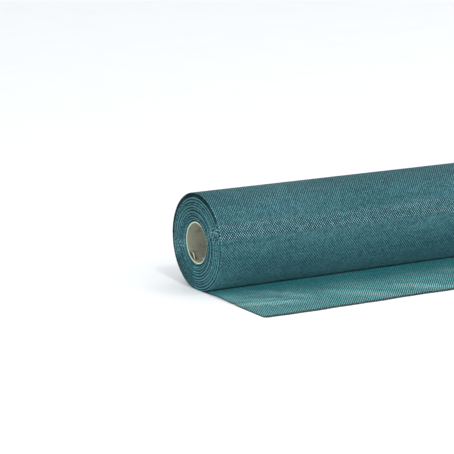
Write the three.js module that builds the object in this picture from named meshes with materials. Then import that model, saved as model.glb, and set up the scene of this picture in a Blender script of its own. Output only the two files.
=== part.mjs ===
// A roll of fibreglass insect screen on its cardboard core, lying on a floor, with its loose end drawn
// out to the front. Millimetres. +X runs along the roll, -Y points to the front, +Z is up. The origin
// is on the floor, in the middle of the narrow flat that the roll rests on.

import * as THREE from 'three';

// Driving dimensions

const CLOTH_WIDTH = 1000;
const ROLL_RADIUS = 58.5;
const FLAT_HALF_ANGLE = THREE.MathUtils.degToRad(7.5);
const CORE_RADIUS = 26;
const CORE_WALL = 2.2;
const CORE_SETTLING = 1.35; // how far the core has sunk below the middle of the outer turn
const CLEARANCE = 0.3; // between pieces that touch

const SHEET_THICKNESS = 1;
const SHEET_ROOT = 12; // distance in front of the roll's middle at which the loose end begins
const SHEET_REACH = 155.7; // distance at which it ends
const CORNER_RADIUS = 6;

// The inner turns have slipped along the roll in groups. Each group reaches out to a radius, and stands
// out at the left end by as much as it lies back at the right end, the cloth being one width.
const TURN_GROUPS = [
  { radius: 29.0, slip: 1.7 },
  { radius: 31.6, slip: 2.2 },
  { radius: 34.8, slip: 1.6 },
  { radius: 38.0, slip: 2.3 },
  { radius: 41.6, slip: 1.7 },
  { radius: 44.8, slip: 2.2 },
  { radius: 47.6, slip: 1.3 },
  { radius: 50.8, slip: 1.0 },
  { radius: 54.2, slip: 0.4 },
  { radius: ROLL_RADIUS, slip: 0 },
];
const GROUP_BEVEL = 0.5; // radial width of the step from one group to the next

// Soft ridges of the loose end: the middle, measured from the left end and from the roll's middle
// line, the heading from +X, and the length, width and height.
const RIDGES = [
  { along: 43, out: 98, heading: -16, length: 95, width: 15, height: 1.5 },
  { along: 42, out: 80, heading: -18, length: 60, width: 11, height: 1.0 },
  { along: 80, out: 66, heading: -48, length: 85, width: 17, height: 1.1 },
  { along: 163, out: 112, heading: -44, length: 100, width: 24, height: 1.3 },
  { along: 247, out: 122, heading: -36, length: 90, width: 20, height: 1.5 },
  { along: 352, out: 96, heading: -42, length: 110, width: 26, height: 1.2 },
  { along: 520, out: 110, heading: -38, length: 120, width: 28, height: 1.3 },
  { along: 700, out: 98, heading: 36, length: 110, width: 26, height: 1.2 },
  { along: 860, out: 116, heading: 42, length: 100, width: 22, height: 1.4 },
  { along: 955, out: 92, heading: 20, length: 80, width: 15, height: 1.3 },
];
// Where the cloth leaves the roll it stays a little off the floor, most at its two sides.
const SWELL = { out: 52, halfLength: 42, height: 0.3, sideHeight: 1.4, sideReach: 60 };
// The cut edge wanders by a millimetre or two: each wave's length, its start and its height.
const EDGE_WAVES = [
  { length: 310, start: 0.7, height: 0.7 },
  { length: 96, start: 2.1, height: 0.5 },
  { length: 43, start: 4.0, height: 0.35 },
];

const ROUND_STEPS = 72;
const CORE_STEPS = 48;
const SHEET_COLUMNS = 60;
const SHEET_ROWS = 14;

const rollCentreHeight = ROLL_RADIUS * Math.cos(FLAT_HALF_ANGLE);
const coreCentreHeight = rollCentreHeight - CORE_SETTLING;
const boreRadius = CORE_RADIUS + CLEARANCE;

const cardboard = new THREE.MeshStandardMaterial({ color: 0xa79a78, roughness: 0.9, metalness: 0 });
const woundScreen = new THREE.MeshStandardMaterial({ color: 0x4a767c, roughness: 0.55, metalness: 0 });
const singleScreen = new THREE.MeshStandardMaterial({ color: 0x639a98, roughness: 0.55, metalness: 0 });

// Shared helpers

// Turns a closed outline of [radius, place along the roll] into a ring about the X axis, with one of
// its facets facing straight down.
function ringAboutX(outline, steps) {
  const points = outline.map(([radius, along]) => new THREE.Vector2(radius, along));
  points.push(points[0].clone());
  const ring = new THREE.LatheGeometry(points, steps, Math.PI / steps);
  ring.rotateZ(-Math.PI / 2);
  return ring;
}

function movePoints(geometry, move) {
  const position = geometry.attributes.position;
  const point = new THREE.Vector3();
  for (let i = 0; i < position.count; i += 1) {
    point.fromBufferAttribute(position, i);
    move(point);
    position.setXYZ(i, point.x, point.y, point.z);
  }
  geometry.computeVertexNormals();
  return geometry;
}

function named(name, geometry, material) {
  const mesh = new THREE.Mesh(geometry, material);
  mesh.name = name;
  return mesh;
}

// Cardboard core

function coreTube() {
  const half = CLOTH_WIDTH / 2;
  const inside = CORE_RADIUS - CORE_WALL;
  const outline = [
    [inside, -half],
    [CORE_RADIUS, -half],
    [CORE_RADIUS, half],
    [inside, half],
  ];
  return ringAboutX(outline, CORE_STEPS);
}

// Wound cloth

function endRelief() {
  const relief = [];
  let inner = boreRadius;
  TURN_GROUPS.forEach(({ radius, slip }, index) => {
    const last = index === TURN_GROUPS.length - 1;
    relief.push([inner, slip]);
    relief.push([last ? radius : radius - GROUP_BEVEL, slip]);
    inner = radius;
  });
  return relief;
}

function woundTurns() {
  const half = CLOTH_WIDTH / 2;
  const relief = endRelief();
  const leftEnd = relief.map(([radius, slip]) => [radius, -half - slip]);
  const rightEnd = relief.map(([radius, slip]) => [radius, half - slip]).reverse();
  return movePoints(ringAboutX([...leftEnd, ...rightEnd], ROUND_STEPS), settleOnFloor);
}

// Presses the outer turns flat where they rest and leaves the bore round. The outer turns are centred
// above the core.
function settleOnFloor(point) {
  const radius = Math.hypot(point.y, point.z);
  const outward = (radius - boreRadius) / (ROLL_RADIUS - boreRadius);
  const fromDown = Math.abs(Math.atan2(point.y, -point.z));
  const pressed = Math.min(1, Math.cos(FLAT_HALF_ANGLE) / Math.cos(Math.min(fromDown, FLAT_HALF_ANGLE)));
  const scale = 1 - (1 - pressed) * outward;
  point.y *= scale;
  point.z *= scale;
  point.z += CORE_SETTLING * outward;
}

// Loose end

function frontEdge(x) {
  const waves = EDGE_WAVES.map(({ length, start, height }) =>
    height * Math.sin((2 * Math.PI * x) / length + start));
  const intoCorner = Math.max(0, Math.abs(x) - (CLOTH_WIDTH / 2 - CORNER_RADIUS));
  const corner = CORNER_RADIUS - Math.sqrt(CORNER_RADIUS ** 2 - intoCorner ** 2);
  return -SHEET_REACH + waves.reduce((sum, wave) => sum + wave, 0) + corner;
}

function liftOff(x, y) {
  let lift = 0;
  for (const { along, out, heading, length, width, height } of RIDGES) {
    const turn = THREE.MathUtils.degToRad(heading);
    const dx = x - (along - CLOTH_WIDTH / 2);
    const dy = y + out;
    const lengthwise = (dx * Math.cos(turn) + dy * Math.sin(turn)) / (length / 2);
    const across = (dy * Math.cos(turn) - dx * Math.sin(turn)) / (width / 2);
    lift += height * Math.exp(-(across ** 2)) * Math.exp(-(lengthwise ** 4));
  }
  const fromSide = (CLOTH_WIDTH / 2 - Math.abs(x)) / SWELL.sideReach;
  const swellHeight = SWELL.height + SWELL.sideHeight * Math.exp(-(fromSide ** 2));
  const fromSwell = Math.min(1, Math.abs(y + SWELL.out) / SWELL.halfLength);
  lift += swellHeight * Math.cos((fromSwell * Math.PI) / 2) ** 2;
  const settled = 0.15; // what the cloth's weight presses flat
  return Math.max(0, lift - settled);
}

// A thin closed sheet with the corners rounded, its root a wedge that reaches in under the roll.
function looseSheet() {
  const sheet = new THREE.BoxGeometry(2, 1, 1, SHEET_COLUMNS, SHEET_ROWS, 1);
  return movePoints(sheet, (point) => {
    const upper = point.z > 0;
    const x = (CLOTH_WIDTH / 2) * Math.sin((point.x * Math.PI) / 2);
    const front = frontEdge(x);
    const y = front + (-SHEET_ROOT - front) * (point.y + 0.5);
    const rollUnderside = rollCentreHeight - Math.sqrt(ROLL_RADIUS ** 2 - Math.min(y ** 2, ROLL_RADIUS ** 2));
    const room = Math.min(SHEET_THICKNESS, rollUnderside - CLEARANCE);
    point.set(x, y, liftOff(x, y) + (upper ? room : 0));
  });
}

const core = named('cardboard_core', coreTube(), cardboard);
core.position.z = coreCentreHeight;

const roll = named('screen_roll', woundTurns(), woundScreen);
roll.position.z = coreCentreHeight;

const looseEnd = named('loose_end', looseSheet(), singleScreen);

const screenRoll = new THREE.Group();
screenRoll.add(core, roll, looseEnd);

export default screenRoll;
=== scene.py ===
# A roll of fibreglass insect screen on its cardboard core, lying on a pale floor with its loose end
# drawn out to the front. Metres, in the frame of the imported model: +X along the roll, -Y to the front.

import math
import random

import bpy
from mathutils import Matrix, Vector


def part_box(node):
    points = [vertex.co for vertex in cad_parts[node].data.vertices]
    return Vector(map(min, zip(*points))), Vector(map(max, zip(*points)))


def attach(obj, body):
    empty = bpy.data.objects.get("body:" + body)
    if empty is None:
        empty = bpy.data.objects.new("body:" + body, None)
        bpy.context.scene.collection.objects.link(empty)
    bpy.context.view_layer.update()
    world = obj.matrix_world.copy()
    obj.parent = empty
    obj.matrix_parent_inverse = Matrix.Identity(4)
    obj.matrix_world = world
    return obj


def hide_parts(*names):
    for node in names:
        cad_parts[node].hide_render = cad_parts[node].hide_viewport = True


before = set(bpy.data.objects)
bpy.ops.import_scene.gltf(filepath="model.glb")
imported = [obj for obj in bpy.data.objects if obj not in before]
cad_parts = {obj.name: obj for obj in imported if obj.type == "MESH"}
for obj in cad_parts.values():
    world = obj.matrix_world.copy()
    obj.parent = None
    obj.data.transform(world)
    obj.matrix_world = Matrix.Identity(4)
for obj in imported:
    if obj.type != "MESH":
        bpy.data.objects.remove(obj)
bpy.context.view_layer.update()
scene = bpy.context.scene

# The camera stands low at the front left and looks along the roll through a long lens, from about
# two and a half metres away.
camera = bpy.data.objects.new("camera", bpy.data.cameras.new("camera"))
scene.collection.objects.link(camera)
scene.camera = camera
camera.location = (-1.6863, -2.0939, 0.5957)
LOOKS_DOWN = 12.19
TURNED_TO_THE_RIGHT = 30.39
camera.rotation_euler = (math.radians(90 - LOOKS_DOWN), 0, math.radians(-TURNED_TO_THE_RIGHT))
camera.data.sensor_width = 36
camera.data.lens = 165.95
camera.data.clip_end = 50


# The pale studio floor is painted board that runs out of sight. The room round it is bright and white.
# A lamp shines from the front, a soft box low down, and three long tubes give the vinyl its glints.
class Wire:
    """The output of a node. Sums and products of wires add the Math nodes that work them out."""

    def __init__(self, tree, socket=None):
        self.tree = tree
        self.socket = socket

    def node(self, kind, inputs=None, output=0, **settings):
        made = self.tree.nodes.new(kind)
        for name, value in settings.items():
            setattr(made, name, value)
        for name, value in (inputs or {}).items():
            if isinstance(value, Wire):
                self.tree.links.new(value.socket, made.inputs[name])
            else:
                made.inputs[name].default_value = value
        return Wire(self.tree, made.outputs[output] if made.outputs else None)

    def math(self, operation, *values):
        vector = any(isinstance(v, Wire) and v.socket.type in {"VECTOR", "RGBA"} for v in values)
        if vector:
            values = [(v, v, v) if isinstance(v, (int, float)) else v for v in values]
        kind = "ShaderNodeVectorMath" if vector else "ShaderNodeMath"
        return self.node(kind, dict(enumerate(values)), operation=operation)

    def __add__(self, other):
        return self.math("ADD", self, other)

    def __radd__(self, other):
        return self.math("ADD", other, self)

    def __sub__(self, other):
        return self.math("SUBTRACT", self, other)

    def __rsub__(self, other):
        return self.math("SUBTRACT", other, self)

    def __mul__(self, other):
        return self.math("MULTIPLY", self, other)

    def __rmul__(self, other):
        return self.math("MULTIPLY", other, self)

    def __truediv__(self, other):
        return self.math("DIVIDE", self, other)

    def __rtruediv__(self, other):
        return self.math("DIVIDE", other, self)

    def __pow__(self, other):
        return self.math("POWER", self, other)

    def clear_of(self, low, high):
        """0 below low, 1 above high and even in between."""
        return self.node("ShaderNodeMapRange", {0: self, 1: low, 2: high})

    def between(self, low, high):
        """This wire picks a colour from low at 0 to high at 1."""
        return self.node("ShaderNodeMix", {0: self, 6: low, 7: high}, 2, data_type="RGBA")

    def parts(self):
        split = self.node("ShaderNodeSeparateXYZ", {0: self}).socket.node
        return [Wire(self.tree, socket) for socket in split.outputs]

    def point(self, x, y, z):
        return self.node("ShaderNodeCombineXYZ", {0: x, 1: y, 2: z})

    def noise(self, place, scale, detail=2.0):
        return self.node("ShaderNodeTexNoise", {"Vector": place, "Scale": scale, "Detail": detail})


def new_finish(name):
    """An empty material, the start of its wires, and a call that dresses the surface."""
    material = bpy.data.materials.new(name)
    material.use_nodes = True
    tree = material.node_tree
    tree.nodes.clear()
    start = Wire(tree)

    def dress(colour, roughness, bump=None, bump_depth=0.0, **constants):
        inputs = {"Base Color": colour, "Roughness": roughness}
        if bump is not None:
            inputs["Normal"] = start.node("ShaderNodeBump", {"Height": bump, "Distance": bump_depth})
        inputs |= {label.replace("_", " "): value for label, value in constants.items()}
        shader = start.node("ShaderNodeBsdfPrincipled", inputs)
        start.node("ShaderNodeOutputMaterial", {"Surface": shader})

    return material, start, dress


FLOOR_REACH = 6.0
floor_mesh = bpy.data.meshes.new("floor")
floor_corners = [(sx * FLOOR_REACH, sy * FLOOR_REACH, 0) for sx, sy in ((-1, -1), (1, -1), (1, 1), (-1, 1))]
floor_mesh.from_pydata(floor_corners, [], [(0, 1, 2, 3)])
floor = bpy.data.objects.new("floor", floor_mesh)
scene.collection.objects.link(floor)
floor_paint, start, dress = new_finish("floor_paint")
grain = start.noise(start.node("ShaderNodeTexCoord", output="Object"), 9.0)
dress(grain.between((0.90, 0.90, 0.91, 1), (0.94, 0.94, 0.94, 1)), 0.7, Specular_IOR_Level=0.2)
floor_mesh.materials.append(floor_paint)

room = bpy.data.worlds.new("white_room")
scene.world = room
room.use_nodes = True
room_light = room.node_tree.nodes["Background"]
room_light.inputs["Color"].default_value = (0.95, 0.98, 1.0, 1)
room_light.inputs["Strength"].default_value = 1.0


def add_lamp(name, elevation, along, away, size, power, colour=(1.0, 1.0, 1.0)):
    """An oblong lamp with its long side along the roll, that faces the roll's middle line."""
    lamp = bpy.data.objects.new(name, bpy.data.lights.new(name, "AREA"))
    scene.collection.objects.link(lamp)
    lamp.data.shape = "RECTANGLE"
    lamp.data.size, lamp.data.size_y = size
    lamp.data.energy = power
    lamp.data.color = colour
    lift = math.radians(elevation)
    lamp.location = (along, -away * math.cos(lift), 0.06 + away * math.sin(lift))
    lamp.rotation_euler = (math.pi / 2 - lift, 0, 0)


WARM_WHITE = (1.0, 0.985, 0.96)
add_lamp("front_lamp", elevation=52, along=-0.65, away=1.6, size=(0.2, 0.2), power=6.1, colour=WARM_WHITE)
add_lamp("low_soft_box", elevation=3, along=-0.6, away=3.0, size=(1.6, 0.3), power=23)
add_lamp("upper_tube", elevation=115, along=1.45, away=2.8, size=(1.8, 0.45), power=5)
add_lamp("middle_tube", elevation=39, along=1.45, away=2.8, size=(1.8, 0.3), power=20)
add_lamp("lower_tube", elevation=16, along=1.45, away=2.8, size=(1.8, 0.08), power=8)
scene.view_settings.view_transform = "Standard"


# The core is a tube of brown board, wound on a slant from narrow strips of paper, glued, and cut square
# by a blade that leaves the plies' edges pale and a little furry. Two shreds of the inside strip have
# torn at the left end and arch off the wall.
MM = 0.001
core_low, core_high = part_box("cardboard_core")
CLOTH_LEFT, CLOTH_RIGHT = core_low.x, core_high.x
CLOTH_WIDTH = CLOTH_RIGHT - CLOTH_LEFT
CORE_CENTRE = (core_low.z + core_high.z) / 2
CORE_RADIUS = 26 * MM
CORE_WALL = 2.2 * MM
CORE_SIDES = 120
PLY = 0.3 * MM
PLIES = 6
PLY_UNEVEN = 0.22 * MM
PLY_WAVE = 0.08 * MM
STRIP_TRAVEL = 114 * MM  # how far the inside strip moves along the core in one turn
STRIP_GAP = 0.9 * MM
STRIP_START = math.radians(105)
# The torn shreds: how far in from the left end, the first and last angle, the width and the lift, in
# millimetres and degrees.
SHREDS = [
    {"inward": 2.6, "first": -68, "last": -38, "width": 1.5, "lift": 3.6},
    {"inward": 12.5, "first": -78, "last": -66, "width": 1.6, "lift": 1.4},
]
SHRED_THICKNESS = 0.25 * MM


def lofted(sections, closed):
    """Points and faces of a skin over sections of equally many points, closed on itself or capped."""
    points = [point for section in sections for point in section]
    across = len(sections[0])
    runs = len(sections) if closed else len(sections) - 1
    faces = []
    for run in range(runs):
        for side in range(across):
            near, far = run * across, (run + 1) % len(sections) * across
            after = (side + 1) % across
            faces.append((near + side, near + after, far + after, far + side))
    if not closed:
        faces.append(tuple(reversed(range(across))))
        faces.append(tuple(range(len(points) - across, len(points))))
    return points, faces


def new_piece(name, shells, material):
    """One object from several shells of points and faces, with its place in its mesh."""
    points, faces = [], []
    for shell_points, shell_faces in shells:
        faces += [tuple(index + len(points) for index in face) for face in shell_faces]
        points += shell_points
    mesh = bpy.data.meshes.new(name)
    mesh.from_pydata(points, [], faces)
    mesh.materials.append(material)
    mesh.shade_smooth()
    piece = bpy.data.objects.new(name, mesh)
    scene.collection.objects.link(piece)
    return piece


def around_core(along, radius, angle):
    """The point at a radius from the core's middle line, at an angle that rises from the back."""
    return (along, radius * math.cos(angle), CORE_CENTRE + radius * math.sin(angle))


def core_body():
    """The glued plies, each cut a hair longer or shorter than the next."""
    draw = random.Random(4)
    inside = CORE_RADIUS - CORE_WALL + PLY
    ply = (CORE_RADIUS - inside) / PLIES
    stands = []
    for _ in range(PLIES):
        stands.append((draw.uniform(-PLY_UNEVEN, 0.0), draw.uniform(0, 6.28), draw.choice((2, 3, 5))))
    sections = []
    for step in range(CORE_SIDES):
        angle = 2 * math.pi * step / CORE_SIDES
        rim = []
        for index, (stand, start_angle, waves) in enumerate(stands):
            edge = stand + PLY_WAVE * math.sin(waves * angle + start_angle) - PLY_WAVE
            rim.append((inside + (index + 0.12) * ply, edge))
            rim.append((inside + (index + 0.88) * ply, edge))
        left = [around_core(CLOTH_LEFT - edge, radius, angle) for radius, edge in rim]
        right = [around_core(CLOTH_RIGHT + edge, radius, angle) for radius, edge in reversed(rim)]
        sections.append(left + right)
    return lofted(sections, closed=True)


def inside_strip():
    """The innermost strip, wound with a narrow gap from one turn to the next."""
    inner = CORE_RADIUS - CORE_WALL
    outer = inner + PLY * 1.1
    step = 2 * math.pi / CORE_SIDES
    last = math.floor(CLOTH_WIDTH / STRIP_TRAVEL * CORE_SIDES)
    sections = []
    for index in range(2 - CORE_SIDES, last):
        low = CLOTH_LEFT + STRIP_TRAVEL * index / CORE_SIDES
        high = low + STRIP_TRAVEL - STRIP_GAP
        low, high = max(low, CLOTH_LEFT), min(high, CLOTH_RIGHT)
        if high - low > 0.5 * MM:
            angle = index * step + STRIP_START
            corners = ((high, inner), (low, inner), (low, outer), (high, outer))
            sections.append([around_core(along, radius, angle) for along, radius in corners])
    return lofted(sections, closed=False)


def paper_shred(inward, first, last, width, lift):
    """A torn shred of the inside strip that arches off the wall between two angles."""
    steps = 16
    sections = []
    for step in range(steps + 1):
        part = step / steps
        angle = math.radians(first + (last - first) * part)
        half = width * MM / 2 * (0.55 + 0.45 * math.sin(math.pi * part))
        middle = CLOTH_LEFT + (inward + width * 0.5 * part) * MM
        outer = CORE_RADIUS - CORE_WALL - (0.02 + lift * math.sin(math.pi * part) ** 0.8) * MM
        inner = outer - SHRED_THICKNESS
        corners = ((-half, outer), (half, outer), (half, inner), (-half, inner))
        sections.append([around_core(middle + side, radius, angle) for side, radius in corners])
    return lofted(sections, closed=False)


BOARD_SHADES = ((0.225, 0.235, 0.180, 1), (0.345, 0.360, 0.275, 1))
PALE_SPECK = (0.43, 0.40, 0.31, 1)
SCUFFED_BOARD = (0.16, 0.11, 0.08, 1)
SEAM_SHADE = (0.14, 0.115, 0.07, 1)
BARED_AND_SHADED_BOARD = (0.055, 0.040, 0.025, 1)
CUT_PAPER_SHADES = ((0.56, 0.62, 0.42, 1), (0.82, 0.94, 0.74, 1))
SHADED_FRONT_CUT_PAPER = (0.26, 0.33, 0.32, 1)
SHADED_OUTER_CUT_PAPER = (0.06, 0.12, 0.11, 1)
TORN_PAPER = (0.98, 0.94, 0.74, 1)

card, start, dress = new_finish("core_cardboard")
place = start.node("ShaderNodeTexCoord", output="Object")
along, across, up = place.parts()
angle = start.math("ARCTAN2", up - CORE_CENTRE, across)
radius = (across * across + (up - CORE_CENTRE) * (up - CORE_CENTRE)) ** 0.5
from_end = CLOTH_WIDTH / 2 - start.math("ABSOLUTE", along)
slant = start.point(along * 18.0 + angle * 0.25, angle * 6.0, radius * 300.0)
fibres = start.noise(slant, 9.0, 4.0)
blotches = start.noise(place, 34.0, 3.0)
scuffs = start.noise(place, 210.0, 2.0)
specks = start.noise(place, 900.0, 2.0)
board = (blotches * 0.6 + fibres * 0.4).clear_of(0.36, 0.66).between(*BOARD_SHADES)
board = specks.clear_of(0.60, 0.72).between(board, PALE_SPECK)
board = (scuffs.clear_of(0.60, 0.68) * 0.5).between(board, SCUFFED_BOARD)
# Deeper in the bore the board is painted paler: painted light that reaches into it.
board = board * (from_end.clear_of(15 * MM, 80 * MM) * 1.5 + 1.0)
strip_turns = (along - CLOTH_LEFT) / STRIP_TRAVEL - (angle - STRIP_START) / (2 * math.pi)
seam = start.math("PINGPONG", strip_turns, 0.5).clear_of(0.02, 0.0)
board = (seam * 0.55).between(board, SEAM_SHADE)
# The wall that the first shred has come off is bare and dark: bare board, with painted shadow under the
# shred.
shred_middle = math.radians((SHREDS[0]["first"] + SHREDS[0]["last"]) / 2)
bared_and_shaded = start.math("ABSOLUTE", angle - shred_middle).clear_of(0.36, 0.22)
bared_and_shaded = bared_and_shaded * (along - CLOTH_LEFT).clear_of(9 * MM, 6 * MM)
board = (bared_and_shaded * 0.8).between(board, BARED_AND_SHADED_BOARD)
# The cut rim shows its plies. Towards the front it is painted duller, and at the outside darker: painted
# shade, the outer part under the cloth's overhanging edge.
in_wall = (radius - (CORE_RADIUS - CORE_WALL)) / CORE_WALL
ply_lines = start.math("PINGPONG", in_wall * PLIES, 0.5).clear_of(0.0, 0.22)
cut_paper = ply_lines.between(*CUT_PAPER_SHADES)
at_front = (across / CORE_RADIUS).clear_of(-0.2, -0.95)
cut_paper = (at_front * 0.45).between(cut_paper, SHADED_FRONT_CUT_PAPER)
cut_paper = in_wall.clear_of(0.45, 0.75).between(cut_paper, SHADED_OUTER_CUT_PAPER)
at_rim = from_end.clear_of(0.9 * MM, 0.35 * MM)
torn = (CORE_RADIUS - CORE_WALL - radius).clear_of(0.12 * MM, 0.45 * MM)
colour = torn.between(at_rim.between(board, cut_paper), TORN_PAPER)
fur = fibres * 0.5 + specks * 0.5
dress(colour, 0.88, bump=fur, bump_depth=0.25 * MM, Specular_IOR_Level=0.25)
core = new_piece(
    "cardboard_core_wound",
    [core_body(), inside_strip()] + [paper_shred(**shred) for shred in SHREDS],
    card,
)
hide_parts("cardboard_core")
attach(core, "root")


# The wound cloth is thirty metres of screen, woven from glass yarn in a vinyl coat and wound on the
# core by machine in 112 turns. Groups of turns have slipped a little along the roll.
ROLL_RADIUS = 58.5 * MM
FLAT_HALF_ANGLE = math.radians(7.5)
ROLL_CENTRE = ROLL_RADIUS * math.cos(FLAT_HALF_ANGLE)
SETTLING = ROLL_CENTRE - CORE_CENTRE
YARN_WIDTH = 0.36 * MM
YARN_HEIGHT = 0.32 * MM
WARP_PITCH = 1.58 * MM
WEFT_PITCH = 1.90 * MM
WEFTS_ROUND = 2 * round(math.pi * ROLL_RADIUS / WEFT_PITCH)
WEFTS_AHEAD = 0.6  # how far the first weft lies from the cloth's cut edge, in pitches
TURNS = 112
FIRST_TURN_RADIUS = CORE_RADIUS + 0.2 * MM
LAST_TURN_RADIUS = ROLL_RADIUS - 1.3 * YARN_HEIGHT
TURN_WANDER = 0.42 * MM  # how far a turn's edge strays from its group
# Each group of turns reaches out to a radius and has slipped to the left, both in millimetres, and its
# edges are painted more or less pale, as painted light.
TURN_GROUPS = [
    {"radius": 29.0, "slip": 1.1, "painted_light": 0.05},
    {"radius": 31.6, "slip": 2.2, "painted_light": 0.75},
    {"radius": 34.8, "slip": 1.6, "painted_light": 0.20},
    {"radius": 38.0, "slip": 2.3, "painted_light": 0.70},
    {"radius": 41.6, "slip": 1.7, "painted_light": 0.20},
    {"radius": 44.8, "slip": 2.2, "painted_light": 0.60},
    {"radius": 47.6, "slip": 1.3, "painted_light": 0.25},
    {"radius": 50.8, "slip": 1.0, "painted_light": 0.45},
    {"radius": 54.2, "slip": 0.4, "painted_light": 0.40},
    {"radius": 58.5, "slip": 0.0, "painted_light": 0.30},
]


def new_pattern(name, **sizes):
    """A tree of geometry nodes with these named inputs, as its start and a wire for each input."""
    tree = bpy.data.node_groups.new(name, "GeometryNodeTree")
    tree.interface.new_socket("Geometry", in_out="OUTPUT", socket_type="NodeSocketGeometry")
    for label, value in sizes.items():
        kind = "NodeSocketInt" if isinstance(value, int) else "NodeSocketFloat"
        kind = "NodeSocketGeometry" if value is None else kind
        socket = tree.interface.new_socket(label, in_out="INPUT", socket_type=kind)
        if value is not None:
            socket.default_value = value
    given = tree.nodes.new("NodeGroupInput")
    wires = {label: Wire(tree, given.outputs[label]) for label in sizes}
    return Wire(tree), wires


def keep_map(shape, name, across, up):
    """Lays the shape's corners out flat on a named map."""
    return shape.node(
        "GeometryNodeStoreNamedAttribute",
        {"Geometry": shape, "Name": name, "Value": shape.point(across, up, 0.0)},
        data_type="FLOAT2",
        domain="CORNER",
    )


def keep_number(shape, name, value):
    """Writes a number for the finish to read on each of the shape's points."""
    return shape.node(
        "GeometryNodeStoreNamedAttribute",
        {"Geometry": shape, "Name": name, "Value": value},
        data_type="FLOAT",
        domain="POINT",
    )


def end_pattern(shape, across, up):
    """Ends a pattern with the flat map that the piece's finish is kept on. The maps that are given
    fill nearly all of a square."""
    shape = shape.node("GeometryNodeRealizeInstances", {"Geometry": keep_map(shape, "OFBake", across, up)})
    result = shape.tree.nodes.new("NodeGroupOutput")
    shape.tree.links.new(shape.socket, result.inputs["Geometry"])


def make_piece(name, start, surface=None, **sizes):
    """Runs a pattern with its inputs set to these sizes and keeps the plain mesh that it makes."""
    piece = bpy.data.objects.new(name, surface or bpy.data.meshes.new(name))
    scene.collection.objects.link(piece)
    maker = piece.modifiers.new("maker", "NODES")
    maker.node_group = start.tree
    for item in start.tree.interface.items_tree:
        if item.in_out == "INPUT" and item.name in sizes:
            maker[item.identifier] = sizes[item.name]
    scene_state = bpy.context.evaluated_depsgraph_get()
    mesh = bpy.data.meshes.new_from_object(
        piece.evaluated_get(scene_state), preserve_all_data_layers=True, depsgraph=scene_state
    )
    piece.modifiers.remove(maker)
    piece.data = mesh
    mesh.name = name
    return piece


def moved(shape, place):
    """Moves each of the shape's points to the place that is worked out for it."""
    return shape.node("GeometryNodeSetPosition", {"Geometry": shape, "Position": place})


def settled(across, up):
    """Moves a point round the core's middle as the roll's weight does: its outer turns hang a little
    above the core's middle and are pressed flat on the floor."""
    radius = (across * across + up * up) ** 0.5
    outward = radius.clear_of(CORE_RADIUS, ROLL_RADIUS)
    from_down = across.math("ARCTAN2", across.math("ABSOLUTE", across), up * -1.0)
    reach = across.math("COSINE", across.math("MINIMUM", from_down, FLAT_HALF_ANGLE))
    pressed = across.math("MINIMUM", math.cos(FLAT_HALF_ANGLE) / reach, 1.0)
    keep = 1.0 - (1.0 - pressed) * outward
    return across * keep, up * keep + outward * SETTLING + CORE_CENTRE


def winding_place(start, across, up):
    """The radius and angle of a place in the winding. The groups' edges are not quite round."""
    angle = start.math("ARCTAN2", up, across)
    wobble = start.math("SINE", angle + 0.8) * 0.6 + start.math("SINE", angle * 2.0 + 2.0) * 0.3
    return (across * across + up * up) ** 0.5 + wobble * MM, angle


def of_group(radius, column):
    """What the table of groups says for the turn at a radius."""
    value = TURN_GROUPS[0][column]
    for inner, outer in zip(TURN_GROUPS, TURN_GROUPS[1:]):
        edge = inner["radius"] * MM
        value = radius.clear_of(edge - 0.4 * MM, edge) * (outer[column] - inner[column]) + value
    return value


def turn_shift(start, across, up, wander):
    """How far the cloth at a place in the winding has moved towards the left end, and its uneven part."""
    radius, angle = winding_place(start, across, up)
    uneven = start.noise(start.point(radius * 1500.0, angle * 0.8, 0.0), 1.0, 3.0) - 0.5
    return of_group(radius, "slip") * MM + uneven * 2.0 * wander, uneven


def winding(start, size):
    """The spiral that the cloth follows, from the core to just under the outermost turn."""
    return start.node(
        "GeometryNodeCurveSpiral",
        {
            "Resolution": size["steps_per_turn"],
            "Rotations": size["turns"],
            "Start Radius": size["inner_radius"],
            "End Radius": size["outer_radius"],
            "Height": 0.0,
        },
    )


def rounded(shape):
    """Shades a swept yarn as if its corners were round."""
    shape = shape.node("GeometryNodeSetShadeSmooth", {"Geometry": shape}, domain="EDGE")
    return shape.node("GeometryNodeSetShadeSmooth", {"Geometry": shape}, domain="FACE")


def angle_on_face(start, across, up):
    """The angle round the roll from its top by the front, in turns. It never jumps within a face."""
    angle = start.math("ARCTAN2", across, up * -1.0) / (2 * math.pi)
    middle = start.node("GeometryNodeFieldOnDomain", {"Value": angle}, domain="FACE")
    apart = angle - middle
    return middle + apart - start.math("ROUND", apart) + 0.5


# The colour of painted glints on the vinyl.
PAINTED_GLINT_VINYL = (0.085, 0.165, 0.180, 1)
# The colour of painted shade on the cloth close to the roll.
SHADED_VINYL = (0.006, 0.118, 0.140, 1)


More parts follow.
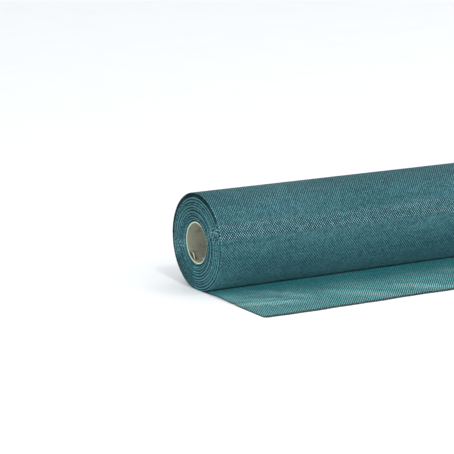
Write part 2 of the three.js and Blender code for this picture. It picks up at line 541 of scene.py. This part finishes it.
def woven_finish(
    name,
    shades,
    contrast,
    uneven,
    gloss,
    side_tone,
    side_width,
    bands=(),
    cut_tone=0.0,
    shaded_reach=None,
):
    """Glass yarn in a vinyl coat, over and under by the numbers on the weave map. The crossings where the
    warp lies on top are painted brighter and the others darker, as painted light and shade, and they glint,
    by as much as each yarn's own coat is smooth. Within the bands painted highlights are added, or the
    weave loses its contrast and is painted paler. The sides and the cut get painted shade or a painted
    highlight, and within a reach of the roll the cloth gets painted shade, with less contrast."""
    material, start, dress = new_finish(name)
    place = start.node("ShaderNodeTexCoord", output="Object")
    along, across, _ = place.parts()
    warp_place, weft_place, _ = start.node("ShaderNodeUVMap", uv_map="weave").parts()
    warp_number, weft_number = start.math("ROUND", warp_place), start.math("ROUND", weft_place)
    lifted = start.node("ShaderNodeAttribute", output="Fac", attribute_name="lift")
    on_top = start.math("COSINE", warp_place * math.pi) * start.math("COSINE", weft_place * math.pi)
    painted_glint_mask = on_top.clear_of(0.05, 0.45)
    over = on_top.clear_of(-0.3, 0.3)
    crossing = start.node(
        "ShaderNodeTexWhiteNoise",
        {"Vector": start.point(warp_number, weft_number, 0.0)},
        noise_dimensions="3D",
    )

    # No two yarns are quite alike, and the tone drifts softly over the cloth.
    warp_tone = start.noise(start.point(warp_number * 7.3, weft_place * 0.05, 0.0), 1.0, 1.0)
    weft_tone = start.noise(start.point(warp_place * 0.025, weft_number * 5.1, 4.0), 1.0, 1.0)
    cloudy = start.noise(place, 14.0, 3.0)
    # Where the cloth is lifted off the floor its tone is painted paler: painted light on the ridges.
    tone = cloudy * 0.40 + warp_tone * 0.22 + weft_tone * 0.38 + lifted.clear_of(0.35, 1.5) * 0.5
    yarn = tone.clear_of(0.30, 0.70).between(*shades)

    # The brightness of a crossing, as painted light and shade. Each band mixes in its own painted
    # highlights, or painted light.
    painted_light_chequer = (over * 2.0 - 1.0) * contrast + 1.0
    turned = weft_place / WEFTS_ROUND * 360.0
    for band in bands:
        from_middle = start.math("ABSOLUTE", turned - band["angle"])
        in_band = from_middle.clear_of(band["half_width"], band["half_width"] * 0.4) * band["strength"]
        painted_light_chequer = painted_light_chequer + (painted_glint_mask * band["bright"] + band["dim"] - painted_light_chequer) * in_band
        yarn = (painted_glint_mask * in_band * band["white"]).between(yarn, PAINTED_GLINT_VINYL)

    if shaded_reach:
        # Within the reach the cloth is painted darker and bluer, with less contrast: painted shade of the
        # roll.
        out = across * -1.0
        shaded = (out + (cloudy - 0.5) * 60 * MM).clear_of(shaded_reach, shaded_reach * 0.45)
        yarn = (shaded * 0.8).between(yarn, SHADED_VINYL)
        painted_light_chequer = painted_light_chequer + shaded * 0.6 * (1.0 - painted_light_chequer)
        # Painted light: the crossings are brighter on the high ridges and close to the roll.
        close_to_roll = out.clear_of(48 * MM, 26 * MM)
        painted_light_chequer = painted_light_chequer * (lifted.clear_of(0.9, 1.8) * 0.45 + close_to_roll * 0.7 + 1.0)

    # Painted shade where side_tone and cut_tone are below zero, and a painted highlight where side_tone is
    # above.
    from_side = CLOTH_WIDTH / 2 - start.math("ABSOLUTE", along)
    edge = from_side.clear_of(side_width, side_width * 0.6) * side_tone
    if cut_tone:
        edge = edge + (weft_place + WEFTS_AHEAD).clear_of(4.6, 3.4) * cut_tone
    edge = start.math("MAXIMUM", edge + 1.0, 0.1)

    smooth_coat = (weft_tone * 0.6 + cloudy * 0.4).clear_of(0.38, 0.60)
    dress(
        yarn * painted_light_chequer * ((crossing - 0.5) * uneven + 1.0) * edge,
        0.75 - over * (0.75 - gloss),
        Specular_IOR_Level=0.1,
        Coat_Weight=over * (smooth_coat * 0.7 + 0.3) * (crossing * 0.8 + 0.4),
        Coat_Roughness=0.24,
    )
    return material


# The edges of the turns are painted pale where a group stands out, as painted light, and dark in the gap
# beside it, as painted shade. Painted glints of cut yarns lie at two places round the end.
TURN_EDGE_SHADES = ((0.001, 0.018, 0.021, 1), (0.135, 0.380, 0.415, 1))
PAINTED_GLINT_EDGE = (0.36, 0.62, 0.66, 1)
PAINTED_GLINT_ANGLES = (157, -14)
turn_edges, start, dress = new_finish("turn_edges")
place = start.node("ShaderNodeTexCoord", output="Object")
along, across, up = place.parts()
radius, angle = winding_place(start, across, up - CORE_CENTRE)
stands_out = start.node("ShaderNodeAttribute", output="Fac", attribute_name="stands_out")
rings = start.noise(start.point(radius * 420.0, angle * 0.5, 0.0), 1.0, 2.0)
ends = start.noise(start.point(radius * 900.0, angle * 26.0, along * 60.0), 1.0, 1.0)
specks = start.noise(place, 460.0, 1.0).clear_of(0.53, 0.60)
crest, gap = 0.0, 0.0
for group in TURN_GROUPS[:-1]:
    from_edge = (radius - group["radius"] * MM) / MM
    crest = start.math("MAXIMUM", start.math("ABSOLUTE", from_edge + 0.8).clear_of(1.1, 0.5), crest)
    gap = start.math("MAXIMUM", start.math("ABSOLUTE", from_edge - 0.7).clear_of(1.0, 0.5), gap)
# Painted glints of cut yarns at two angles round the end.
glints = 0.0
for glint_angle in PAINTED_GLINT_ANGLES:
    apart = start.math("ABSOLUTE", angle - math.radians(glint_angle))
    glints = apart.clear_of(0.26, 0.08) + glints
# How pale an edge is: by its group and how far it stands out, as painted light, by its ring, painted
# lighter to the front and darker to the top, then by the groups' crests and gaps as painted highlights and
# painted shade, the painted glints, and a darker outermost turn.
above = start.math("MAXIMUM", up - CORE_CENTRE, 0.0)
lit = across / ROLL_RADIUS * -0.30 - above / ROLL_RADIUS * 0.34
pale = of_group(radius, "painted_light") * 0.6 + (rings - 0.5) * 2.1 + (stands_out - 0.5) * 0.6 + lit
pale = pale + crest * ends.clear_of(0.25, 0.60) * 2.2 - gap * 1.2 + (ends - 0.5) * 1.0 - 0.12
pale = pale + glints * (specks * 2.2 - 0.6)
pale = pale - radius.clear_of(ROLL_RADIUS - 1.6 * MM, ROLL_RADIUS - 0.9 * MM) * 0.5
shade = pale.clear_of(0.0, 1.5).between(*TURN_EDGE_SHADES)
shade = (glints * specks * 0.75).between(shade, PAINTED_GLINT_EDGE)
dress(shade, 0.6, Specular_IOR_Level=0.12)

# Bands of painted highlights along the roll, in which the crossings are painted to glint, by degrees from
# the roll's top to its front. In the last two, on the underside, the weave loses its contrast and is
# painted paler, as painted light.
PAINTED_LIGHT_BANDS = [
    {"angle": 27, "half_width": 9, "strength": 0.6, "bright": 2.2, "dim": 0.25, "white": 0.3},
    {"angle": 41, "half_width": 11, "strength": 0.6, "bright": 2.1, "dim": 0.40, "white": 0.15},
    {"angle": 65.5, "half_width": 6, "strength": 0.75, "bright": 2.65, "dim": 0.12, "white": 0.4},
    {"angle": 74.5, "half_width": 4.5, "strength": 1.0, "bright": 3.0, "dim": 0.0, "white": 0.45},
    {"angle": 155, "half_width": 40, "strength": 1.0, "bright": 0.0, "dim": 1.45, "white": 0.0},
    {"angle": 170, "half_width": 22, "strength": 1.0, "bright": 0.0, "dim": 2.8, "white": 0.0},
]
# The wound cloth under the outer yarns is a darker copy of the yarn's colour: painted shade between the
# layers. Its sides are painted paler: a painted highlight.
wound_face = woven_finish(
    "wound_face",
    shades=((0.018, 0.082, 0.100, 1), (0.033, 0.121, 0.145, 1)),
    contrast=0.58,
    uneven=0.7,
    gloss=0.5,
    side_tone=0.8,
    side_width=1.7 * MM,
    bands=PAINTED_LIGHT_BANDS,
)

start, size = new_pattern(
    "wound_cloth",
    inner_radius=FIRST_TURN_RADIUS,
    outer_radius=LAST_TURN_RADIUS,
    turns=float(TURNS),
    steps_per_turn=144,
    thickness=0.21 * MM,
    width=CLOTH_WIDTH,
    wander=TURN_WANDER,
)
spiral = winding(start, size)
edge_on = start.node(
    "GeometryNodeCurvePrimitiveQuadrilateral",
    {"Width": size["thickness"], "Height": size["width"]},
)
turns = start.node(
    "GeometryNodeCurveToMesh",
    {"Curve": spiral, "Profile Curve": edge_on, "Fill Caps": True},
)
across, up, along = start.node("GeometryNodeInputPosition").parts()
turns = keep_map(turns, "weave", along / WARP_PITCH, angle_on_face(start, across, up) * WEFTS_ROUND)
shift, uneven = turn_shift(start, across, up, size["wander"])
turns = keep_number(turns, "stands_out", uneven + 0.5)
turns = moved(turns, start.point(along - shift, *settled(across, up)))
turns = start.node("GeometryNodeSetShadeSmooth", {"Geometry": turns, "Shade Smooth": False})
along, across, up = start.node("GeometryNodeInputPosition").parts()
facing_along = start.node("GeometryNodeInputNormal").parts()[0]
facing = start.node("GeometryNodeFieldOnDomain", {"Value": facing_along}, domain="FACE")
on_end = start.math("GREATER_THAN", facing * facing, 0.5)
on_right = start.math("GREATER_THAN", facing, 0.0)
turns = start.node("GeometryNodeSetMaterial", {"Geometry": turns, "Material": wound_face})
turns = start.node(
    "GeometryNodeSetMaterial", {"Geometry": turns, "Selection": on_end, "Material": turn_edges}
)
# On the flat map both ends lie side by side at the bottom, and the turns' faces above them.
END_SHARE = 0.42
end_across = (across / ROLL_RADIUS * 0.48 + 0.5) * END_SHARE + on_right * 0.5
end_up = up / ROLL_RADIUS * 0.5 * END_SHARE
side_across = along / CLOTH_WIDTH + 0.5
side_up = angle_on_face(start, across, up - ROLL_CENTRE) * (0.96 - END_SHARE) + END_SHARE + 0.03
map_across = side_across + on_end * (end_across - side_across)
map_up = side_up + on_end * (end_up - side_up)
end_pattern(turns, map_across, map_up)
wound_cloth = make_piece("wound_cloth", start)
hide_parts("screen_roll")
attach(wound_cloth, "root")

# The wefts of every turn end in short stubs at the cloth's sides: the same coated yarn, cut by the
# loom's shears or broken off at various lengths.
start, size = new_pattern(
    "weft_stubs",
    side=-1.0,
    inner_radius=FIRST_TURN_RADIUS,
    outer_radius=LAST_TURN_RADIUS,
    turns=float(TURNS),
    steps_per_turn=72,
    wander=TURN_WANDER,
    spacing=WEFT_PITCH,
    share=0.30,
    thickness=YARN_HEIGHT * 0.7,
    shortest=0.25 * MM,
    longest=1.0 * MM,
)
spiral = winding(start, size)
ends = start.node("GeometryNodeResampleCurve", {"Curve": spiral, "Length": size["spacing"]}, mode="LENGTH")
ends = start.node("GeometryNodeCurveToPoints", {"Curve": ends}, mode="EVALUATED")
line = start.node("GeometryNodeCurvePrimitiveLine", {"End": (0.0, 0.0, 1.0)})
square = start.node(
    "GeometryNodeCurvePrimitiveQuadrilateral",
    {"Width": size["thickness"], "Height": size["thickness"]},
)
stub = start.node("GeometryNodeCurveToMesh", {"Curve": line, "Profile Curve": square, "Fill Caps": True})
chosen = start.node(
    "FunctionNodeRandomValue",
    {"Probability": size["share"], "Seed": 5},
    output=3,
    data_type="BOOLEAN",
)
length = start.node("FunctionNodeRandomValue", {2: size["shortest"], 3: size["longest"], "Seed": 8}, 1)
stubs = start.node(
    "GeometryNodeInstanceOnPoints",
    {"Points": ends, "Selection": chosen, "Instance": stub, "Scale": start.point(1.0, 1.0, length)},
)
stubs = start.node("GeometryNodeRealizeInstances", {"Geometry": stubs})
across, up, out = start.node("GeometryNodeInputPosition").parts()
shift, uneven = turn_shift(start, across, up, size["wander"])
stubs = keep_number(stubs, "stands_out", uneven + 0.75)
along = (out + (CLOTH_WIDTH / 2 - 0.1 * MM)) * size["side"] - shift
stubs = moved(stubs, start.point(along, *settled(across, up)))
# Stubs that are laid out to the left have been mirrored, so their faces are turned back.
mirrored = start.math("LESS_THAN", size["side"], 0.0)
stubs = start.node("GeometryNodeFlipFaces", {"Mesh": stubs, "Selection": mirrored})
stubs = start.node("GeometryNodeSetMaterial", {"Geometry": stubs, "Material": turn_edges})
along, across, up = start.node("GeometryNodeInputPosition").parts()
end_pattern(stubs, across / ROLL_RADIUS * 0.48 + 0.5, up / ROLL_RADIUS * 0.5)
for name, side in (("weft_stubs_left", -1.0), ("weft_stubs_right", 1.0)):
    weft_stubs = make_piece(name, start, side=side)
    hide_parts("screen_roll")
    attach(weft_stubs, "root")


# The outermost turn shows each yarn: warps that run round the roll and wefts that run along it, both
# glass thread in a vinyl coat, woven one over one and fused where they cross.
roll_yarn = woven_finish(
    "roll_yarn",
    shades=((0.033, 0.116, 0.136, 1), (0.058, 0.170, 0.192, 1)),
    contrast=0.58,
    uneven=0.7,
    gloss=0.34,
    side_tone=0.5,
    side_width=1.7 * MM,
    bands=PAINTED_LIGHT_BANDS,
)
WARPS = 2 * round(CLOTH_WIDTH / WARP_PITCH / 2 - 0.5) + 1  # odd, so that one lies in the middle
FIRST_WARP = -(WARPS - 1) / 2 * WARP_PITCH

start, size = new_pattern(
    "outer_warps",
    first=FIRST_WARP,
    count=WARPS,
    pitch=WARP_PITCH,
    radius=ROLL_RADIUS - YARN_HEIGHT / 2,
    thickness=YARN_HEIGHT,
    yarn_width=YARN_WIDTH,
    steps=60,
    wander=0.12 * MM,
)
circle = start.node(
    "GeometryNodeCurvePrimitiveCircle",
    {"Resolution": size["steps"], "Radius": size["radius"]},
)
yarn = start.node(
    "GeometryNodeCurvePrimitiveQuadrilateral",
    {"Width": size["thickness"], "Height": size["yarn_width"]},
)
ring = rounded(start.node("GeometryNodeCurveToMesh", {"Curve": circle, "Profile Curve": yarn}))
row = start.node(
    "GeometryNodeMeshLine",
    {
        "Count": size["count"],
        "Start Location": start.point(0.0, 0.0, size["first"]),
        "Offset": start.point(0.0, 0.0, size["pitch"]),
    },
)
warps = start.node("GeometryNodeInstanceOnPoints", {"Points": row, "Instance": ring})
warps = start.node("GeometryNodeRealizeInstances", {"Geometry": warps})
across, up, along = start.node("GeometryNodeInputPosition").parts()
warps = keep_map(warps, "weave", along / WARP_PITCH, angle_on_face(start, across, up) * WEFTS_ROUND)
astray = start.noise(start.point(along * 900.0, across * 17.0, up * 17.0), 1.0) - 0.5
warps = moved(warps, start.point(along + astray * 2.0 * size["wander"], *settled(across, up)))
warps = start.node("GeometryNodeSetMaterial", {"Geometry": warps, "Material": roll_yarn})
along, across, up = start.node("GeometryNodeInputPosition").parts()
map_across = (along - size["first"]) / (size["count"] * size["pitch"]) * 0.98 + 0.005
end_pattern(warps, map_across, angle_on_face(start, across, up - ROLL_CENTRE))

half_count = WARPS // 2
for side, skipped, count in (("left", 0, half_count), ("right", half_count, WARPS - half_count)):
    first = FIRST_WARP + skipped * WARP_PITCH
    outer_warps = make_piece(f"outer_warps_{side}", start, first=first, count=count)
    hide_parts("screen_roll")
    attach(outer_warps, "root")

start, size = new_pattern(
    "outer_wefts",
    left=CLOTH_LEFT,
    right=CLOTH_RIGHT,
    count=WEFTS_ROUND,
    radius=ROLL_RADIUS - YARN_HEIGHT * 1.05,
    thickness=YARN_HEIGHT,
    yarn_width=YARN_WIDTH,
    steps=24,
    bow=0.3 * MM,
)
line = start.node(
    "GeometryNodeCurvePrimitiveLine",
    {"Start": start.point(0.0, 0.0, size["left"]), "End": start.point(0.0, 0.0, size["right"])},
)
line = start.node("GeometryNodeResampleCurve", {"Curve": line, "Count": size["steps"]})
yarn = start.node(
    "GeometryNodeCurvePrimitiveQuadrilateral",
    {"Width": size["thickness"], "Height": size["yarn_width"]},
)
rod = start.node("GeometryNodeCurveToMesh", {"Curve": line, "Profile Curve": yarn, "Fill Caps": True})
rod = rounded(rod)
row = start.node("GeometryNodeMeshLine", {"Count": size["count"]})
turn = start.node("GeometryNodeInputIndex") / size["count"] * (2 * math.pi) - math.pi / 2
across, up = start.math("COSINE", turn) * size["radius"], start.math("SINE", turn) * size["radius"]
row = moved(row, start.point(across, up, 0.0))
wefts = start.node(
    "GeometryNodeInstanceOnPoints",
    {"Points": row, "Instance": rod, "Rotation": start.point(0.0, 0.0, turn)},
)
wefts = start.node("GeometryNodeRealizeInstances", {"Geometry": wefts})
across, up, along = start.node("GeometryNodeInputPosition").parts()
wefts = keep_map(wefts, "weave", along / WARP_PITCH, angle_on_face(start, across, up) * WEFTS_ROUND)
astray = start.noise(start.point(along * 5.0, across * 17.0, up * 17.0), 1.0) - 0.5
turned = astray * 2.0 * size["bow"] / ROLL_RADIUS
cosine, sine = start.math("COSINE", turned), start.math("SINE", turned)
place_across, place_up = settled(across * cosine - up * sine, across * sine + up * cosine)
wefts = moved(wefts, start.point(along, place_across, place_up))
wefts = start.node("GeometryNodeSetMaterial", {"Geometry": wefts, "Material": roll_yarn})
along, across, up = start.node("GeometryNodeInputPosition").parts()
end_pattern(wefts, along / CLOTH_WIDTH * 0.99 + 0.5, angle_on_face(start, across, up - ROLL_CENTRE))
outer_wefts = make_piece("outer_wefts", start)
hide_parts("screen_roll")
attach(outer_wefts, "root")


# The loose end is the last stretch of the same cloth, drawn out flat to the front and cut off square
# with shears. It lies on the floor with the soft ridges that the winding has left in it.
SHEET_ROOT = 12 * MM  # how far in front of the roll's middle line it begins
SHEET_REACH = 155.7 * MM  # and how far it reaches
CORNER_RADIUS = 6 * MM
# Soft ridges and thin creases, in millimetres and degrees: the middle, measured from the left end and
# from the roll's middle line, the heading from +X, and the length, width and height.
RIDGES = [
    {"along": 43, "out": 98, "heading": -16, "length": 95, "width": 15, "height": 1.5},
    {"along": 42, "out": 80, "heading": -18, "length": 60, "width": 11, "height": 1.0},
    {"along": 80, "out": 66, "heading": -48, "length": 85, "width": 17, "height": 1.1},
    {"along": 163, "out": 112, "heading": -44, "length": 100, "width": 24, "height": 1.3},
    {"along": 247, "out": 122, "heading": -36, "length": 90, "width": 20, "height": 1.5},
    {"along": 352, "out": 96, "heading": -42, "length": 110, "width": 26, "height": 1.2},
    {"along": 520, "out": 110, "heading": -38, "length": 120, "width": 28, "height": 1.3},
    {"along": 700, "out": 98, "heading": 36, "length": 110, "width": 26, "height": 1.2},
    {"along": 860, "out": 116, "heading": 42, "length": 100, "width": 22, "height": 1.4},
    {"along": 955, "out": 92, "heading": 20, "length": 80, "width": 15, "height": 1.3},
]
CREASES = [
    {"along": 34, "out": 100, "heading": -22, "length": 72, "width": 5, "height": 0.8},
    {"along": 36, "out": 86, "heading": -21, "length": 50, "width": 4, "height": 0.5},
    {"along": 89, "out": 88, "heading": -53, "length": 34, "width": 5, "height": 0.5},
    {"along": 177, "out": 113, "heading": -45, "length": 40, "width": 6, "height": 0.6},
    {"along": 222, "out": 138, "heading": -49, "length": 34, "width": 6, "height": 0.6},
    {"along": 238, "out": 103, "heading": -24, "length": 44, "width": 5, "height": 0.6},
    {"along": 238, "out": 128, "heading": -50, "length": 22, "width": 4, "height": 0.4},
    {"along": 500, "out": 104, "heading": -35, "length": 70, "width": 6, "height": 0.6},
    {"along": 712, "out": 104, "heading": 33, "length": 60, "width": 6, "height": 0.6},
    {"along": 962, "out": 98, "heading": 22, "length": 66, "width": 5, "height": 0.7},
]
# Where the cloth leaves the roll it stays a little off the floor, most at its two sides, and bends up
# to the roll at its root.
SWELL = {"out": 52, "half_length": 42, "height": 0.3, "side_height": 1.4, "side_reach": 60}
ROOT_BEND = {"out": 21, "half_length": 4, "height": 0.9}
# The cut edge wanders by a millimetre or two: each wave's length, its start and its height.
EDGE_WAVES = [
    {"length": 310, "start": 0.7, "height": 0.7},
    {"length": 96, "start": 2.1, "height": 0.5},
    {"length": 43, "start": 4.0, "height": 0.35},
]
PRESSED = 0.15  # what the cloth's weight presses flat
SURFACE_MARGIN = 6 * MM


def lift_off(along, front):
    """How high the cloth lies off the floor at a place in millimetres."""
    lift = 0.0
    for ridge in RIDGES + CREASES:
        turn = math.radians(ridge["heading"])
        east = along - (ridge["along"] - CLOTH_WIDTH / MM / 2)
        north = front + ridge["out"]
        lengthwise = (east * math.cos(turn) + north * math.sin(turn)) / (ridge["length"] / 2)
        widthwise = (north * math.cos(turn) - east * math.sin(turn)) / (ridge["width"] / 2)
        lift += ridge["height"] * math.exp(-widthwise**2) * math.exp(-lengthwise**4)
    from_side = (CLOTH_WIDTH / MM / 2 - abs(along)) / SWELL["side_reach"]
    height = SWELL["height"] + SWELL["side_height"] * math.exp(-from_side**2)
    from_swell = min(1, abs(front + SWELL["out"]) / SWELL["half_length"])
    lift += height * math.cos(from_swell * math.pi / 2) ** 2
    lift += ROOT_BEND["height"] * math.exp(-(((front + ROOT_BEND["out"]) / ROOT_BEND["half_length"]) ** 2))
    return max(0, lift - PRESSED)


def lie_of_the_cloth(columns, rows):
    """The surface that the loose end's yarns follow."""
    low = (CLOTH_LEFT - SURFACE_MARGIN, -SHEET_REACH - SURFACE_MARGIN)
    high = (CLOTH_RIGHT + SURFACE_MARGIN, -SHEET_ROOT + SURFACE_MARGIN)
    points, faces = [], []
    for row in range(rows + 1):
        front = low[1] + (high[1] - low[1]) * row / rows
        for column in range(columns + 1):
            along = low[0] + (high[0] - low[0]) * column / columns
            points.append((along, front, lift_off(along / MM, front / MM) * MM))
    for row in range(rows):
        for column in range(columns):
            corner = row * (columns + 1) + column
            faces.append((corner, corner + 1, corner + columns + 2, corner + columns + 1))
    mesh = bpy.data.meshes.new("lie_of_the_cloth")
    mesh.from_pydata(points, [], faces)
    return mesh


sheet_yarn = woven_finish(
    "sheet_yarn",
    shades=((0.025, 0.164, 0.174, 1), (0.096, 0.305, 0.308, 1)),
    contrast=0.9,
    uneven=0.4,
    gloss=0.34,
    # Painted shade along the sides and the cut.
    side_tone=-0.88,
    side_width=3.6 * MM,
    # Painted highlights on the crossings across the lit front part of the sheet.
    bands=[{"angle": 20, "half_width": 50, "strength": 0.75, "bright": 2.65, "dim": 0.06, "white": 0.2}],
    cut_tone=-0.85,
    shaded_reach=92 * MM,
)
start, size = new_pattern(
    "loose_end",
    lie=None,
    first_warp=FIRST_WARP,
    warp_count=WARPS,
    warp_pitch=WARP_PITCH,
    warp_steps=20,
    weft_count=math.floor((SHEET_REACH - SHEET_ROOT) / WEFT_PITCH),
    weft_pitch=WEFT_PITCH,
    weft_steps=60,
    thickness=YARN_HEIGHT,
    yarn_width=YARN_WIDTH,
    root=-SHEET_ROOT,
    reach=SHEET_REACH,
    corner=CORNER_RADIUS,
    ragged=0.7 * MM,
)
yarn = start.node(
    "GeometryNodeCurvePrimitiveQuadrilateral",
    {"Width": size["yarn_width"], "Height": size["thickness"]},
)


def yarn_rod(steps, end):
    """A straight yarn from the origin to an end, to be laid in place."""
    line = start.node("GeometryNodeCurvePrimitiveLine", {"End": end})
    line = start.node("GeometryNodeResampleCurve", {"Curve": line, "Count": steps})
    rod = start.node("GeometryNodeCurveToMesh", {"Curve": line, "Profile Curve": yarn, "Fill Caps": True})
    return rounded(rod)


def cut_back(distance):
    """How far a corner's arc has come in from a side, at a distance along the other side."""
    into = start.math("MAXIMUM", size["corner"] - distance, 0.0)
    under_root = start.math("MAXIMUM", size["corner"] * size["corner"] - into * into, 0.0)
    return size["corner"] - under_root**0.5


def edge_waves(along):
    """How far the cut edge has wandered back at a place along it."""
    waves = 0.0
    for wave in EDGE_WAVES:
        swing = start.math("SINE", along * (2 * math.pi / (wave["length"] * MM)) + wave["start"])
        waves = swing * (wave["height"] * MM) + waves
    return waves


def waves_left(from_cut):
    """The share of the edge's waves that the wefts still follow at a distance from the cut."""
    return 1.0 - from_cut / (size["reach"] + size["root"])


warp_row = start.node(
    "GeometryNodeMeshLine",
    {
        "Count": size["warp_count"],
        "Start Location": start.point(size["first_warp"], 0.0, 0.0),
        "Offset": start.point(size["warp_pitch"], 0.0, 0.0),
    },
)
warps = start.node(
    "GeometryNodeInstanceOnPoints",
    {"Points": warp_row, "Instance": yarn_rod(size["warp_steps"], (0.0, 1.0, 0.0))},
)
warps = start.node("GeometryNodeRealizeInstances", {"Geometry": warps})
along, part, up = start.node("GeometryNodeInputPosition").parts()
sheared = start.noise(start.point(along * 1100.0, 0.5, 0.5), 1.0, 1.0) - 0.5
waves = edge_waves(along)
front = waves + cut_back(CLOTH_WIDTH / 2 - start.math("ABSOLUTE", along)) + sheared * size["ragged"]
from_cut = front + (size["reach"] + size["root"] - front) * part
weft_place = (from_cut - waves * waves_left(from_cut)) / size["weft_pitch"] - WEFTS_AHEAD
warps = keep_map(warps, "weave", along / WARP_PITCH, weft_place)
warps = moved(warps, start.point(along, from_cut - size["reach"], up + YARN_HEIGHT * 0.5))
weft_row = start.node(
    "GeometryNodeMeshLine",
    {
        "Count": size["weft_count"],
        "Start Location": start.point(0.0, size["weft_pitch"] * WEFTS_AHEAD, 0.0),
        "Offset": start.point(0.0, size["weft_pitch"], 0.0),
    },
)
wefts = start.node(
    "GeometryNodeInstanceOnPoints",
    {"Points": weft_row, "Instance": yarn_rod(size["weft_steps"], (1.0, 0.0, 0.0))},
)
wefts = start.node("GeometryNodeRealizeInstances", {"Geometry": wefts})
part, from_cut, up = start.node("GeometryNodeInputPosition").parts()
along = (part * 2.0 - 1.0) * (CLOTH_WIDTH / 2 - cut_back(from_cut))
wefts = keep_map(wefts, "weave", along / WARP_PITCH, from_cut / size["weft_pitch"] - WEFTS_AHEAD)
weft_out = from_cut - size["reach"] + edge_waves(along) * waves_left(from_cut)
wefts = moved(wefts, start.point(along, weft_out, up + YARN_HEIGHT * 0.8))
yarns = start.node("GeometryNodeJoinGeometry")
for laid in (warps, wefts):
    start.tree.links.new(laid.socket, yarns.socket.node.inputs["Geometry"])
along, out, up = start.node("GeometryNodeInputPosition").parts()
lie = start.node(
    "GeometryNodeRaycast",
    {
        "Target Geometry": size["lie"],
        "Source Position": start.point(along, out, 1.0),
        "Ray Direction": (0.0, 0.0, -1.0),
        "Ray Length": 2.0,
    },
    output="Hit Position",
)
lift = lie.parts()[2]
yarns = keep_number(yarns, "lift", lift / MM)
yarns = start.node("GeometryNodeSetPosition", {"Geometry": yarns, "Offset": start.point(0.0, 0.0, lift)})
yarns = start.node("GeometryNodeSetMaterial", {"Geometry": yarns, "Material": sheet_yarn})
end_pattern(yarns, along / CLOTH_WIDTH * 0.99 + 0.5, (out + size["reach"]) / size["reach"] * 0.99 + 0.008)
loose_end = make_piece("loose_end_yarns", start, surface=lie_of_the_cloth(columns=500, rows=110))
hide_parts("loose_end")
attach(loose_end, "root")
